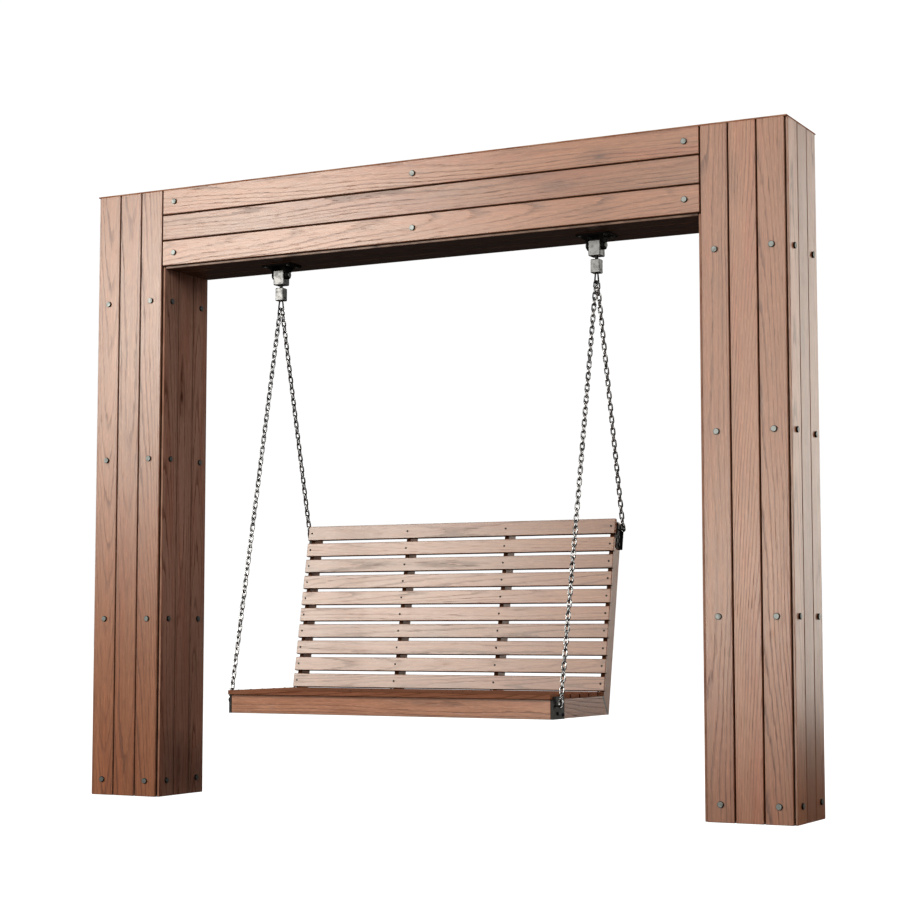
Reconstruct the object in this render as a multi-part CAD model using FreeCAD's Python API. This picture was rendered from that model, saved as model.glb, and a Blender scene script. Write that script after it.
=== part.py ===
import FreeCAD, Part
import math
import os

# Garden swing bench hung on four chains in a portal frame clad with boards.
# Millimetres, +Z up, +X to the right, +Y to the back. The origin is on the floor, midway between
# the two posts and midway through their depth.

Vector = FreeCAD.Vector

# Portal frame
frame_height = 2400.0
opening_width = 2258.0
board_width = 97.0
side_board_width = 95.0
board_gap = 6.0
board_thickness = 9.0
board_count = 3
corner_gap = 3.0
side_setback = 11.0
cap_thickness = 5.0
end_gap = 2.0
board_easing = 1.5

# Hidden timber and steel inside the posts and the beam
stud_size = 75.0
liner_thickness = 6.0
rib_thickness = 24.0
joist_width = 60.0
bridge_margin = 25.0
bridge_height = 120.0
base_plate_thickness = 8.0
base_plate_margin = 2.0
anchor_spacing = 180.0
anchor_hole_radius = 7.0

# Cladding bolts, and the lead and overrun of every drill
bolt_head_radius = 11.0
bolt_head_height = 6.5
bolt_head_easing = 1.5
bolt_shank_radius = 4.0
bolt_length = 48.0
bolt_fit = 0.15
bolt_rows = 4
bolt_first_row = 61.0
bolt_top_drop = 124.5
beam_bolt_inset = 48.0
drill_lead = 0.5
overrun = 1.0

# Hangers
bracket_depth = 90.0
bracket_thickness = 8.0
bracket_margin = 15.0
ear_thickness = 10.0
ear_shoulder = 7.0
ear_wall = 10.0
swing_clearance = 3.4
pivot_radius = 7.0
pivot_fit = 0.05
pivot_head_lip = 4.0
pivot_head_height = 5.0
pivot_head_easing = 1.0
bush_wall = 3.0
bush_fit = 0.02
block_width = 47.0
block_depth = 46.0
block_crown = 7.0
block_web = 13.0
block_side_gap = 1.0
block_easing = 2.5
swivel_radius = 6.5
swivel_lip = 5.5
swivel_head_height = 8.0
swivel_floor = 8.0
swivel_gap = 1.0
swivel_seat = 0.05
swivel_neck = 11.0
shaft_grip = 25.3
clevis_width = 35.0
clevis_wall = 2.2
clevis_lip = 7.0
clevis_pin_radius = 5.0
slot_side_gap = 1.5
slot_end_gap = 0.8
hanger_screw_radius = 4.0
hanger_screw_head = 8.0
hanger_screw_head_height = 4.0
hanger_screw_rim = 1.5
hanger_screw_length = 70.0
hanger_screw_gap = 7.5
hanger_screw_inset = 13.0

# Chains
wire_radius = 3.0
link_pitch = 22.0
link_side_play = 2.0
link_gap = 0.25
chain_gap = 0.5
chain_clearance = 3.5
ring_bar_drop = 35.0
seat_gap = 0.3

# Bench
bench_width = 1306.0
front_overhang = 7.0
seat_overhang = 3.0
seat_top = 425.0
seat_front = -375.0
front_slat_width = 89.5
seat_slat_width = 70.0
seat_slat_gap = 9.0
seat_slat_count = 6
slat_thickness = 16.0
slat_easing = 2.0
apron_setback = 15.0
apron_thickness = 20.0
rail_height = 68.0
rail_width = 16.0
inner_rail_share = 0.325
recline = 10.5
seat_to_back = 453.5
seat_rear_lap = 7.5
back_foot_rise = 3.0
back_slat_width = 52.2
top_slat_width = 56.5
back_slat_gap = 12.6
back_slat_count = 10
back_slat_overhang = 8.0
upright_depth = 59.0
upright_top_drop = 4.0
screw_head_radius = 4.0
screw_head_height = 1.6
screw_rim = 0.6
screw_shank_radius = 2.0
screw_length = 45.0
screw_fit = 0.15
front_screw_inset = 16.0

# Chain plates and their eyes
plate_thickness = 3.0
plate_flange = 12.0
plate_edge_gap = 2.0
plate_slat_gap = 0.5
front_plate_length = 90.0
front_plate_rise = 10.0
rear_plate_length = 92.0
rear_plate_drop = 11.7
eye_radius = 3.0
eye_inside = 20.0
eye_bend = 7.0
front_eye_inset = 30.0
front_eye_drop = 21.0
rear_eye_inset = 24.0
rear_eye_drop = 33.7
eye_bolt_head_radius = 6.5
eye_bolt_head_height = 4.0
eye_bolt_rim = 2.5
eye_bolt_shank_radius = 3.5
eye_bolt_cover = 2.0
front_bolt_places = [(6.0, 27.0), (49.0, 32.0)]
rear_bolt_places = [(26.0, 6.0), (54.0, 14.0)]

# Derived sizes of the frame
corner = board_thickness + corner_gap
post_width = board_count * board_width + (board_count - 1) * board_gap + 2 * corner
post_depth = board_count * side_board_width + (board_count - 1) * board_gap + 2 * side_setback
post_offset = opening_width / 2 + post_width / 2
frame_width = opening_width + 2 * post_width
board_top = frame_height - cap_thickness
beam_bottom = board_top - board_count * board_width - (board_count - 1) * board_gap
soffit_bottom = beam_bottom - corner
soffit_top = soffit_bottom + board_thickness
core_half_width = post_width / 2 - board_thickness
core_half_depth = post_depth / 2 - board_thickness
bolt_row_pitch = (soffit_bottom - bolt_top_drop - bolt_first_row) / (bolt_rows - 1)

# Derived sizes of the chain links
link_inner_width = 2 * wire_radius + link_side_play
link_half_width = link_inner_width / 2 + 2 * wire_radius
chain_spread = link_inner_width / 2 + wire_radius + chain_gap

# Derived places of the bench
bench_side = bench_width / 2
rail_top = seat_top - slat_thickness
rail_bottom = rail_top - rail_height
seat_slat_pitch = seat_slat_width + seat_slat_gap
apron_front = seat_front + apron_setback
apron_back = apron_front + apron_thickness
back_foot = seat_front + seat_to_back
recline_angle = math.radians(recline)
back_length = top_slat_width + (back_slat_count - 1) * (back_slat_width + back_slat_gap)
rail_reach = bench_side - rail_width / 2
inner_rail_offset = bench_side * inner_rail_share
rail_centres = [-rail_reach, -inner_rail_offset, inner_rail_offset, rail_reach]
front_web = bench_side + front_overhang + plate_slat_gap
hanger_offset = front_web + plate_thickness + chain_clearance + link_half_width

# Derived sizes and places of the hangers, from the soffit down
ear_inside = block_width / 2 + block_side_gap
ear_outside = ear_inside + ear_thickness
ear_radius = pivot_radius + ear_wall
hanger_screw_x = ear_outside + hanger_screw_head + hanger_screw_gap
hanger_screw_y = bracket_depth / 2 - hanger_screw_inset
bracket_length = 2 * (hanger_screw_x + bracket_margin)
bridge_length = bracket_length + 2 * bridge_margin
bracket_bottom = soffit_bottom - bracket_thickness
bush_radius = pivot_radius + bush_wall
block_rise = bush_radius + block_crown
pivot_drop = math.hypot(block_rise, block_depth / 2) + swing_clearance
pivot_z = bracket_bottom - pivot_drop
block_top = pivot_z + block_rise
swivel_head_radius = swivel_radius + swivel_lip
pocket_top = pivot_z - bush_radius - block_web
head_bottom = pocket_top - swivel_gap - swivel_head_height
pocket_bottom = head_bottom - swivel_seat
block_bottom = pocket_bottom - swivel_floor
clevis_top = block_bottom - swivel_neck
shaft_bottom = clevis_top - shaft_grip
slot_top = shaft_bottom - 2 * slot_end_gap
ring_crown = clevis_pin_radius + seat_gap + wire_radius
clevis_pin_z = slot_top - slot_end_gap - wire_radius - ring_crown
clevis_bottom = clevis_pin_z - clevis_pin_radius - clevis_lip
ring_bar_z = clevis_bottom - ring_bar_drop
ring_bend = 2 * wire_radius
ring_bar_straight = 2 * (chain_spread + wire_radius + chain_gap)


def block(x, y, z):
    """A box from three (low, high) pairs."""
    size = [high - low for low, high in (x, y, z)]
    return Part.makeBox(*size, Vector(x[0], y[0], z[0]))


def centred(middle, size):
    return (middle - size / 2, middle + size / 2)


def eased(solid, size):
    """The solid with every edge planed off."""
    return solid.makeChamfer(size, solid.Edges)


def rod(start, direction, radius, length):
    return Part.makeCylinder(radius, length, start, direction)


def turned(points):
    """A solid of revolution about +Z from (radius, height) points."""
    corners = [Vector(radius, 0, height) for radius, height in points]
    face = Part.Face(Part.makePolygon(corners + corners[:1]))
    return face.revolve(Vector(0, 0, 0), Vector(0, 0, 1), 360)


def extruded_x(profile, x):
    """A YZ outline carried along X between two planes."""
    corners = [Vector(x[0], y, z) for y, z in profile]
    face = Part.Face(Part.makePolygon(corners + corners[:1]))
    return face.extrude(Vector(x[1] - x[0], 0, 0))


def aimed(solid, seat, outward):
    """A copy whose +Z points outward and whose origin is on the seat."""
    copy = solid.copy()
    copy.Placement = FreeCAD.Placement(seat, FreeCAD.Rotation(Vector(0, 0, 1), outward))
    return copy


def export(node, solids):
    Part.makeCompound(solids).exportStep(f"parts/{node}.step")


def drilled(solid, drills):
    """The solid less those drills whose boxes reach it."""
    near = [drill for drill in drills if drill.BoundBox.intersect(solid.BoundBox)]
    if not near:
        return solid
    return solid.cut(near)


def fastener(head_radius, head_height, rim, shank_radius, length):
    """A domed head on a plain shank: the seat is at height 0 and the shank hangs below it."""
    shank = Part.makeCylinder(shank_radius, length, Vector(0, 0, -length))
    collar = Part.makeCylinder(head_radius, rim)
    rise = head_height - rim
    dome_radius = (head_radius ** 2 + rise ** 2) / (2 * rise)
    dome = Part.makeSphere(dome_radius, Vector(0, 0, head_height - dome_radius))
    cap = dome.common(Part.makeCylinder(head_radius, head_height, Vector(0, 0, rim)))
    return collar.fuse([cap, shank]).removeSplitter()


def drill_for(seat, outward, radius, length, fit):
    """The hole that takes a fastener's shank, from its seat inwards."""
    start = seat + outward * drill_lead
    return rod(start, outward * -1, radius + fit, drill_lead + length + 2 * fit)


def bent_wire(corners, bends, radius, closed):
    """Round wire along a line of corner points, bent at each corner to a centreline radius."""
    pieces, leads = [], []
    last = len(corners) - 1
    for i, point in enumerate(corners):
        if not closed and i in (0, last):
            leads.append((point, point))
            continue
        back = Vector(corners[i - 1] - point).normalize()
        ahead = Vector(corners[(i + 1) % len(corners)] - point).normalize()
        half = back.getAngle(ahead) / 2
        enter = point + back * (bends[i] / math.tan(half))
        leave = point + ahead * (bends[i] / math.tan(half))
        centre = point + Vector(back + ahead).normalize() * (bends[i] / math.sin(half))
        section = Part.Face(Part.Wire(Part.makeCircle(radius, enter, back)))
        pieces.append(section.revolve(centre, ahead.cross(back), 180 - math.degrees(2 * half)))
        leads.append((enter, leave))
    for i in range(len(corners) if closed else last):
        start = leads[i][1]
        run = leads[(i + 1) % len(corners)][0] - start
        if run.Length > 1e-6:
            pieces.append(rod(start, run, radius, run.Length))
    return pieces[0].fuse(pieces[1:]).removeSplitter()


def link(inner_length, inner_width):
    """A round-wire link in the XZ plane, its long axis along Z."""
    x = inner_width / 2 + wire_radius
    z = inner_length / 2 + wire_radius
    corners = [Vector(-x, 0, -z), Vector(x, 0, -z), Vector(x, 0, z), Vector(-x, 0, z)]
    return bent_wire(corners, [x] * 4, wire_radius, True)


def placed_link(template, centre, along, across):
    """A copy of a link with its long axis along one direction and its width along another."""
    copy = template.copy()
    turn = FreeCAD.Rotation(across, along.cross(across), along, "ZXY")
    copy.Placement = FreeCAD.Placement(centre, turn)
    return copy


def along_back(along, back):
    """A point (y, z) on the reclined back: along it from its foot, and back from its front face."""
    y = back_foot + along * math.sin(recline_angle) + back * math.cos(recline_angle)
    z = seat_top + back_foot_rise + along * math.cos(recline_angle) - back * math.sin(recline_angle)
    return (y, z)


def rectangle(y, z):
    return [(y[0], z[0]), (y[1], z[0]), (y[1], z[1]), (y[0], z[1])]


def reclined_rectangle(along, back):
    return [along_back(*point) for point in rectangle(along, back)]


def recline_box(x, along, back):
    return extruded_x(reclined_rectangle(along, back), x)


def face_boards(middle, first, width, count):
    """(low, high) pairs of boards laid side by side with gaps, counted from a first edge."""
    starts = [first + i * (width + board_gap) for i in range(count)]
    return [(middle + start, middle + start + width) for start in starts]


os.makedirs("parts", exist_ok=True)

# Cladding bolts: seats and outward directions on every face of the posts and on the beam
bolt_outline = [
    (0, -bolt_length),
    (bolt_shank_radius, -bolt_length),
    (bolt_shank_radius, 0),
    (bolt_head_radius, 0),
    (bolt_head_radius, bolt_head_height - bolt_head_easing),
    (bolt_head_radius - bolt_head_easing, bolt_head_height),
    (0, bolt_head_height),
]
cladding_bolt = turned(bolt_outline)
bolt_heights = [bolt_first_row + i * bolt_row_pitch for i in range(bolt_rows)]
front_edge = -post_width / 2 + corner
side_edge = -post_depth / 2 + side_setback
bolt_across = front_edge + board_width / 2
bolt_through = side_edge + side_board_width / 2

bolt_seats = []
for post_x in (-post_offset, post_offset):
    for height in bolt_heights:
        for sign in (-1, 1):
            for across in (-bolt_across, bolt_across):
                seat = Vector(post_x + across, sign * post_depth / 2, height)
                bolt_seats.append((seat, Vector(0, sign, 0)))
            for through in (-bolt_through, bolt_through):
                seat = Vector(post_x + sign * post_width / 2, through, height)
                bolt_seats.append((seat, Vector(sign, 0, 0)))
beam_bolt_reach = opening_width / 2 - beam_bolt_inset
for x in (-beam_bolt_reach, 0, beam_bolt_reach):
    for height in (beam_bottom + board_width / 2, board_top - board_width / 2):
        for sign in (-1, 1):
            bolt_seats.append((Vector(x, sign * post_depth / 2, height), Vector(0, sign, 0)))
bolt_hole = (bolt_shank_radius, bolt_length, bolt_fit)
bolt_drills = [drill_for(seat, out, *bolt_hole) for seat, out in bolt_seats]
export("cladding_bolts", [aimed(cladding_bolt, seat, out) for seat, out in bolt_seats])

# Hanger screws run up through the bracket and the soffit into the bridging block
hanger_screw = fastener(
    hanger_screw_head, hanger_screw_head_height, hanger_screw_rim, hanger_screw_radius, hanger_screw_length
)
hanger_seats = []
for hanger_x in (-hanger_offset, hanger_offset):
    for dx in (-hanger_screw_x, hanger_screw_x):
        for dy in (-hanger_screw_y, hanger_screw_y):
            hanger_seats.append(Vector(hanger_x + dx, dy, bracket_bottom))
up = Vector(0, 0, 1)
down = Vector(0, 0, -1)
hanger_hole = (hanger_screw_radius, hanger_screw_length, bolt_fit)
hanger_drills = [drill_for(seat, down, *hanger_hole) for seat in hanger_seats]
export("hanger_screws", [aimed(hanger_screw, seat, down) for seat in hanger_seats])

# Posts: base plate, corner studs, liners behind the board gaps, ribs and four clad faces
base_plates, studs, liners, ribs = [], [], [], []
lined_half_width = core_half_width - liner_thickness
lined_half_depth = core_half_depth - liner_thickness
for side, sign in (("left", -1), ("right", 1)):
    post_x = sign * post_offset
    plate = block(
        centred(post_x, 2 * (core_half_width - base_plate_margin)),
        centred(0, 2 * (core_half_depth - base_plate_margin)),
        (0, base_plate_thickness),
    )
    anchors = [
        rod(Vector(post_x, y, -overrun), up, anchor_hole_radius, base_plate_thickness + 2 * overrun)
        for y in (-anchor_spacing / 2, anchor_spacing / 2)
    ]
    base_plates.append(plate.cut(anchors))

    corners = []
    for end in (-1, 1):
        outer = end == sign
        stud_x = sorted((post_x + end * core_half_width, post_x + end * (core_half_width - stud_size)))
        stud_top = board_top if outer else soffit_top
        for y_sign in (-1, 1):
            stud_y = sorted((y_sign * core_half_depth, y_sign * (core_half_depth - stud_size)))
            corners.append(block(stud_x, stud_y, (base_plate_thickness, stud_top)))
    studs.extend(drilled(stud, bolt_drills) for stud in corners)
    for height in bolt_heights[1:]:
        panel = block(
            centred(post_x, 2 * lined_half_width),
            centred(0, 2 * lined_half_depth),
            centred(height, rib_thickness),
        )
        ribs.append(panel.cut(corners))

    across_boards = face_boards(post_x, front_edge, board_width, board_count)
    through_boards = face_boards(0, side_edge, side_board_width, board_count)
    for face, y_sign in (("front", -1), ("back", 1)):
        y = sorted((y_sign * post_depth / 2, y_sign * core_half_depth))
        boards = [eased(block(x, y, (0, board_top)), board_easing) for x in across_boards]
        liner_x = centred(post_x, 2 * (core_half_width - stud_size))
        liner_y = sorted((y_sign * core_half_depth, y_sign * lined_half_depth))
        liners.append(block(liner_x, liner_y, (base_plate_thickness, soffit_top)))
        export(f"{side}_post_{face}_boards", [drilled(board, bolt_drills) for board in boards])
    for face, x_sign in (("outer", sign), ("inner", -sign)):
        x = sorted((post_x + x_sign * post_width / 2, post_x + x_sign * core_half_width))
        top = board_top if face == "outer" else soffit_top - end_gap
        boards = [eased(block(x, y, (0, top)), board_easing) for y in through_boards]
        liner_x = sorted((post_x + x_sign * core_half_width, post_x + x_sign * lined_half_width))
        liner_y = centred(0, 2 * (core_half_depth - stud_size))
        liner_top = board_top if face == "outer" else soffit_top
        liners.append(block(liner_x, liner_y, (base_plate_thickness, liner_top)))
        export(f"{side}_post_{face}_boards", [drilled(board, bolt_drills) for board in boards])
export("post_base_plates", base_plates)
export("post_studs", studs)
export("post_liners", liners)
export("post_ribs", ribs)

# Beam: joists on the inner studs, bridging blocks over the hangers, boards and cap
joist_reach = frame_width / 2 - board_thickness - stud_size
joists, bridges = [], []
for y_sign in (-1, 1):
    y = sorted((y_sign * core_half_depth, y_sign * (core_half_depth - joist_width)))
    joists.append(drilled(block((-joist_reach, joist_reach), y, (soffit_top, board_top)), bolt_drills))
bridge_half = core_half_depth - joist_width
for hanger_x in (-hanger_offset, hanger_offset):
    bridge_z = (soffit_top, soffit_top + bridge_height)
    bridge = block(centred(hanger_x, bridge_length), (-bridge_half, bridge_half), bridge_z)
    bridges.append(drilled(bridge, hanger_drills))
export("beam_joists", joists)
export("hanger_bridges", bridges)

beam_board_reach = opening_width / 2 + corner - board_gap
beam_levels = face_boards(0, beam_bottom, board_width, board_count)
for face, y_sign in (("front", -1), ("back", 1)):
    y = sorted((y_sign * post_depth / 2, y_sign * core_half_depth))
    x = (-beam_board_reach, beam_board_reach)
    boards = [eased(block(x, y, z), board_easing) for z in beam_levels]
    export(f"beam_{face}_boards", [drilled(board, bolt_drills) for board in boards])
soffit_reach = opening_width / 2 - end_gap
soffit = [
    eased(block((-soffit_reach, soffit_reach), y, (soffit_bottom, soffit_top)), board_easing)
    for y in face_boards(0, side_edge, side_board_width, board_count)
]
export("beam_soffit_boards", [drilled(board, hanger_drills) for board in soffit])
cap = block(centred(0, frame_width), centred(0, post_depth), (board_top, frame_height))
export("top_cap", [eased(cap, board_easing)])

# Hangers: bracket with ears, pivot pin, bearing block, bush, swivel shaft, clevis block, pin and ring
right = Vector(1, 0, 0)
brackets, pivot_pins = [], []
ring_reach = (ring_bar_straight / 2, clevis_pin_z - ring_bar_z - ring_bend)
ring_slant = math.atan2(ring_reach[1], ring_reach[0])
ring_lean = math.acos((ring_crown - ring_bend) / math.hypot(*ring_reach)) - ring_slant
ring_apex = clevis_pin_z + ring_crown / math.sin(ring_lean)
ring_corner = (ring_apex - ring_bar_z) * math.tan(ring_lean)
ring_corners = [
    Vector(0, 0, ring_apex),
    Vector(0, ring_corner, ring_bar_z),
    Vector(0, -ring_corner, ring_bar_z),
]
ring = bent_wire(ring_corners, [ring_crown, ring_bend, ring_bend], wire_radius, True)
ring_mouth = (ring_apex - clevis_bottom) * math.tan(ring_lean) + wire_radius / math.cos(ring_lean)
slot_half = ring_mouth + slot_end_gap
slot_width = 2 * (wire_radius + slot_side_gap)
clevis_depth = 2 * (slot_half + clevis_wall)
for side, sign in (("left", -1), ("right", 1)):
    hanger_x = sign * hanger_offset
    pivot = Vector(hanger_x, 0, pivot_z)
    bracket_z = (bracket_bottom, soffit_bottom)
    plate = block(centred(hanger_x, bracket_length), centred(0, bracket_depth), bracket_z)
    bracket = eased(plate, board_easing)
    reach = bracket_depth / 2 - ear_shoulder
    slope = math.atan2(reach, pivot_drop)
    tangent = math.asin(ear_radius / math.hypot(reach, pivot_drop)) + math.pi / 2 - slope
    touch = (ear_radius * math.sin(tangent), pivot_z + ear_radius * math.cos(tangent))
    outline = [(-reach, bracket_bottom), (reach, bracket_bottom), touch, (-touch[0], touch[1])]
    for end in (-1, 1):
        x = sorted((hanger_x + end * ear_inside, hanger_x + end * ear_outside))
        round_end = rod(Vector(x[0], 0, pivot_z), right, ear_radius, ear_thickness)
        bracket = bracket.fuse([extruded_x(outline, x), round_end])
    pivot_start = pivot - right * ear_outside
    pin_bore = pivot_radius + pivot_fit
    bore = rod(pivot_start - right * overrun, right, pin_bore, 2 * (ear_outside + overrun))
    brackets.append(drilled(bracket.removeSplitter().cut(bore), hanger_drills))
    pin = rod(pivot_start, right, pivot_radius, 2 * ear_outside)
    head_radius = pivot_radius + pivot_head_lip
    heads = [
        eased(rod(pivot + right * start, right, head_radius, pivot_head_height), pivot_head_easing)
        for start in (ear_outside, -ear_outside - pivot_head_height)
    ]
    pivot_pins.append(pin.fuse(heads))

    block_z = (block_bottom, block_top)
    bearing = eased(block(centred(hanger_x, block_width), centred(0, block_depth), block_z), block_easing)
    bearing_bore = rod(pivot - right * block_width, right, bush_radius + bush_fit, 2 * block_width)
    pocket = block(
        centred(hanger_x, 2 * (swivel_head_radius + swivel_gap)),
        (-swivel_head_radius - swivel_gap, block_depth),
        (pocket_bottom, pocket_top),
    )
    neck_start = Vector(hanger_x, 0, block_bottom - overrun)
    neck_bore = rod(neck_start, up, swivel_radius + pivot_fit, swivel_floor + 2 * overrun)
    export(f"{side}_bearing_block", [bearing.cut([bearing_bore, pocket, neck_bore])])
    bush_length = block_width + block_side_gap
    bush_start = pivot - right * (bush_length / 2)
    bush = rod(bush_start, right, bush_radius, bush_length)
    bush_bore = rod(bush_start - right * overrun, right, pin_bore, bush_length + 2 * overrun)
    export(f"{side}_pivot_bush", [bush.cut(bush_bore)])

    shaft = turned(
        [
            (0, shaft_bottom),
            (swivel_radius, shaft_bottom),
            (swivel_radius, head_bottom),
            (swivel_head_radius, head_bottom),
            (swivel_head_radius, head_bottom + swivel_head_height),
            (0, head_bottom + swivel_head_height),
        ]
    )
    shaft.translate(Vector(hanger_x, 0, 0))
    export(f"{side}_swivel_shaft", [shaft])
    clevis_z = (clevis_bottom, clevis_top)
    clevis = eased(block(centred(hanger_x, clevis_width), centred(0, clevis_depth), clevis_z), block_easing)
    slot_z = (clevis_bottom - overrun, slot_top)
    slot = block(centred(hanger_x, slot_width), (-slot_half, slot_half), slot_z)
    clevis_start = Vector(hanger_x - clevis_width / 2, 0, clevis_pin_z)
    clevis_bore = rod(
        clevis_start - right * overrun, right, clevis_pin_radius + pivot_fit, clevis_width + 2 * overrun
    )
    shaft_bore = rod(Vector(hanger_x, 0, shaft_bottom), up, swivel_radius + bush_fit, shaft_grip + overrun)
    export(f"{side}_clevis_block", [clevis.cut([slot, clevis_bore, shaft_bore])])
    export(f"{side}_clevis_pin", [rod(clevis_start, right, clevis_pin_radius, clevis_width)])
    side_ring = ring.copy()
    side_ring.translate(Vector(hanger_x, 0, 0))
    export(f"{side}_hanger_ring", [side_ring])
export("hanger_brackets", brackets)
export("pivot_pins", pivot_pins)

# Bench timber: apron, four rails mitred to four uprights, seat slats and back slats
screw = fastener(screw_head_radius, screw_head_height, screw_rim, screw_shank_radius, screw_length)
seat_rear = back_foot + seat_rear_lap
seat_spans = [(seat_front, seat_front + front_slat_width)]
for i in range(seat_slat_count - 1):
    start = seat_spans[0][1] + seat_slat_gap + i * seat_slat_pitch
    seat_spans.append((start, min(start + seat_slat_width, seat_rear)))
back_out = Vector(0, -math.cos(recline_angle), math.sin(recline_angle))
back_slats = []
level = back_length
for i in range(back_slat_count):
    width = top_slat_width if i == 0 else back_slat_width
    back_slats.append((level - width, level))
    level -= width + back_slat_gap

screw_seats = []
for x in rail_centres:
    for start, finish in seat_spans:
        middle = max((start + finish) / 2, apron_back + front_screw_inset)
        screw_seats.append((Vector(x, middle, seat_top), up))
    for low, high in back_slats:
        screw_seats.append((Vector(x, *along_back((low + high) / 2, 0)), back_out))
screw_hole = (screw_shank_radius, screw_length, screw_fit)
screw_drills = [drill_for(seat, out, *screw_hole) for seat, out in screw_seats]
export("slat_screws", [aimed(screw, seat, out) for seat, out in screw_seats])

upright_front = (slat_thickness, slat_thickness + upright_depth)


def on_upright(back, z):
    """The y of an upright's front or rear face at a height."""
    foot_y, foot_z = along_back(0, back)
    return foot_y + (z - foot_z) * math.tan(recline_angle)


mitre_top = (on_upright(upright_front[0], rail_top), rail_top)
mitre_bottom = (on_upright(upright_front[1], rail_bottom), rail_bottom)
rail_outline = [(apron_back, rail_bottom), mitre_bottom, mitre_top, (apron_back, rail_top)]
upright_top = back_length - upright_top_drop
upright_outline = [
    mitre_bottom,
    along_back(upright_top, upright_front[1]),
    along_back(upright_top, upright_front[0]),
    mitre_top,
]

# Chain plates: a shallow channel with a round eye, and two bolts into the timber behind it.
# A front plate stands clear of the seat slat's end; a rear plate lies on the upright.
rear_eye_along = back_length - rear_eye_drop
rear_eye_back = upright_front[0] + rear_eye_inset
front_eye = (apron_front + front_eye_inset, rail_top - front_eye_drop)
rear_eye = along_back(rear_eye_along, rear_eye_back)
front_bolts = [(front_eye[0] + along, front_eye[1] - drop) for along, drop in front_bolt_places]
rear_bolts = [along_back(rear_eye_along - drop, rear_eye_back + back) for drop, back in rear_bolt_places]


def chain_plate(sign, web, web_outline, lip_reach, lip_outlines, eye):
    """A plate beside the bench with lips back to the timber and a round-bar eye lying along Y."""
    base = extruded_x(web_outline, sorted((sign * web, sign * (web + plate_thickness))))
    lip_x = sorted((sign * bench_side, sign * lip_reach))
    lips = [extruded_x(outline, lip_x) for outline in lip_outlines]
    half = eye_inside / 2 + eye_radius
    root = sign * (web + plate_thickness / 2)
    tip = sign * hanger_offset
    bends = ((root, -half), (tip, -half), (tip, half), (root, half))
    corners = [Vector(x, eye[0] + y, eye[1]) for x, y in bends]
    staple = bent_wire(corners, [0, eye_bend, eye_bend, 0], eye_radius, False)
    return base.fuse(lips).removeSplitter().fuse(staple)


def lip_pairs(low, high):
    """The two strips one plate thickness wide at the ends of a span."""
    return [(low, low + plate_thickness), (high - plate_thickness, high)]


front_plate_y = (apron_front, apron_front + front_plate_length)
front_outline = rectangle(front_plate_y, (rail_bottom, rail_top + front_plate_rise))
front_lips = [rectangle(y, (rail_bottom, rail_top - plate_edge_gap)) for y in lip_pairs(*front_plate_y)]
rear_plate_top = back_length - rear_plate_drop
rear_along = (rear_plate_top - rear_plate_length, rear_plate_top)
rear_back = (upright_front[0] + plate_edge_gap, upright_front[1] - plate_edge_gap)
rear_outline = reclined_rectangle(rear_along, rear_back)
rear_lips = [reclined_rectangle(rear_along, back) for back in lip_pairs(*rear_back)]
plate_kinds = [
    (front_web, front_outline, front_web + plate_thickness, front_lips, front_eye, front_bolts),
    (bench_side, rear_outline, bench_side + plate_flange, rear_lips, rear_eye, rear_bolts),
]
plates, eye_bolts, eye_drills = [], [], []
for sign in (-1, 1):
    outward = Vector(sign, 0, 0)
    for web, web_outline, lip_reach, lip_outlines, eye, places in plate_kinds:
        seats = [Vector(sign * (web + plate_thickness), y, z) for y, z in places]
        grip = web + plate_thickness - bench_side + rail_width - eye_bolt_cover
        eye_bolt = fastener(
            eye_bolt_head_radius, eye_bolt_head_height, eye_bolt_rim, eye_bolt_shank_radius, grip
        )
        drills = [drill_for(seat, outward, eye_bolt_shank_radius, grip, bolt_fit) for seat in seats]
        plate = chain_plate(sign, web, web_outline, lip_reach, lip_outlines, eye)
        plates.append(drilled(plate, drills))
        eye_bolts.extend(aimed(eye_bolt, seat, outward) for seat in seats)
        eye_drills.extend(drills)
export("chain_plates", plates)
export("chain_plate_bolts", eye_bolts)

bench_drills = screw_drills + eye_drills
rails, uprights = [], []
for x in rail_centres:
    span = centred(x, rail_width)
    rails.append(drilled(extruded_x(rail_outline, span), bench_drills))
    uprights.append(drilled(extruded_x(upright_outline, span), bench_drills))
export("left_side_rail", rails[:1])
export("inner_rails", rails[1:3])
export("right_side_rail", rails[3:])
export("left_end_upright", uprights[:1])
export("inner_uprights", uprights[1:3])
export("right_end_upright", uprights[3:])
apron = block((-bench_side, bench_side), (apron_front, apron_back), (rail_bottom, rail_top))
export("front_apron", [eased(apron, slat_easing)])

seat_slats = []
for i, span in enumerate(seat_spans):
    half = bench_side + (front_overhang if i == 0 else seat_overhang)
    slat = block((-half, half), span, (rail_top, seat_top))
    seat_slats.append(drilled(eased(slat, slat_easing), screw_drills))
export("front_seat_slat", seat_slats[:1])
export("seat_slats", seat_slats[1:])
back_half = bench_side + back_slat_overhang
for i, along in enumerate(back_slats):
    slat = eased(recline_box((-back_half, back_half), along, (0, slat_thickness)), slat_easing)
    export(f"back_slat_{i + 1:02d}", [drilled(slat, screw_drills)])

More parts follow.
